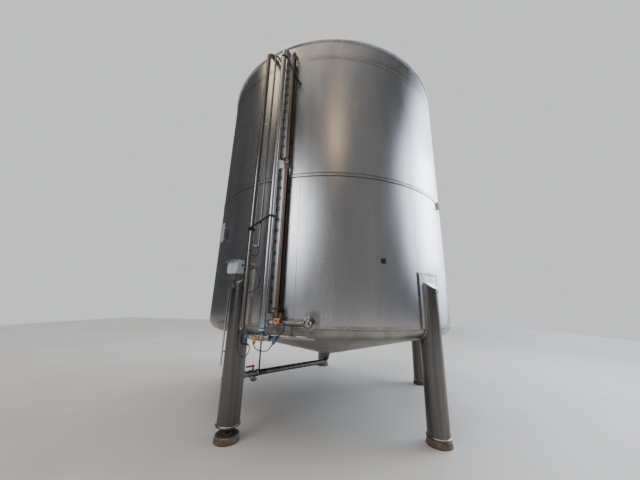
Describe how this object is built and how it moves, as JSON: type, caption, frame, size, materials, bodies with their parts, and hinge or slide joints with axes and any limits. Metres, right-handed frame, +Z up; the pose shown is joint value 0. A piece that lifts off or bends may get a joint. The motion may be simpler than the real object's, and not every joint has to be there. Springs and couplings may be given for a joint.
{
  "type": "vertical storage tank",
  "caption": "Upright stainless steel cylinder tank with a shallow conical bottom on tubular legs with pad feet, with a level gauge, side pipes, a sampling nozzle and a bottom outlet.",
  "frame": {"origin": "centre of the bounding box in plan, on the floor the feet stand on", "axes": "+Z up; -Y towards the side with the gauge and the pipes; +X to the right as that side is faced"},
  "size_m": [3.3974, 3.5738, 4.6085],
  "materials": {
    "shell": "ground stainless sheet, semi-bright",
    "bottom": "dull stainless, lightly stained",
    "leg": "stainless tube, brushed and a little grimy",
    "pad": "rusty cast pad",
    "pipe": "polished stainless tube",
    "scale_plate": "matt steel strip with black numerals",
    "sight_tube": "clear tube with amber liquid",
    "black_plastic": "matt black",
    "black_steel": "black paint",
    "cable": "black cable sheath",
    "orange": "orange plastic",
    "blue": "blue plastic",
    "red": "red coating, worn",
    "box": "pale blue-grey paint",
    "plate": "blank pale plate"
  },
  "bodies": {
    "tank": {"shell_lower": "shell", "shell_upper": "shell", "shell_top": "shell", "mid_band": "shell", "bottom_knuckle": "bottom", "bottom_cone": "bottom", "roof": "shell", "rim_bar": "shell", "leg_front_right": "leg", "foot_front_right": "pad", "leg_back_right": "leg", "foot_back_right": "pad", "leg_back": "leg", "foot_back": "pad", "leg_left": "leg", "foot_left": "pad", "leg_front_left": "leg", "foot_front_left": "pad", "gauge_scale_lower": "scale_plate", "gauge_scale_upper": "scale_plate", "gauge_tube_lower": "sight_tube", "gauge_tube_upper": "sight_tube", "gauge_guard": "black_plastic", "gauge_mid_valve": "pipe", "gauge_low_valve": "pipe", "level_sensor": "orange", "connector_blue_right": "blue", "gauge_top_elbow": "pipe", "cleaning_pipe": "pipe", "cleaning_collar": "blue", "cleaning_manifold": "pipe", "sensor_orange": "orange", "connector_stub": "pipe", "connector_blue_left": "blue", "connector_elbow": "black_plastic", "pipe_strut": "black_steel", "vent_pipe": "pipe", "conduit": "pipe", "pipe_brace": "black_steel", "nozzle": "pipe", "sample_pipe": "pipe", "pipe_rail": "pipe", "outlet_pipe": "pipe", "outlet_hanger": "black_steel", "outlet_valve": "pipe", "junction_box": "box", "box_hood": "shell", "nameplate": "plate", "side_lug": "shell", "probe_socket": "black_plastic", "leg_pipe": "pipe", "cable_level": "cable", "cable_low": "cable", "cable_left": "cable", "cable_box": "cable", "cable_loop": "cable"},
    "mid_lever_body": {"gauge_mid_lever": "black_plastic"},
    "nozzle_lever_body": {"nozzle_lever": "pipe"},
    "outlet_handle_body": {"outlet_handle": "red"}
  },
  "joints": [
    {"name": "mid_lever_turn", "type": "hinge", "parent": "tank", "child": "mid_lever_body", "pos_m": [-0.45841, -1.69628, 2.65], "axis": [-0.2807, -0.9598, 0], "range_deg": [0, 90]},
    {"name": "nozzle_lever_turn", "type": "hinge", "parent": "tank", "child": "nozzle_lever_body", "pos_m": [-0.16498, -1.77705, 1.04], "axis": [-0.0993, -0.9951, 0], "range_deg": [0, 90]},
    {"name": "outlet_handle_turn", "type": "hinge", "parent": "tank", "child": "outlet_handle_body", "pos_m": [-0.85115, -0.8009, 0.4785], "axis": [0, 0, 1], "range_deg": [0, 90]}
  ]
}
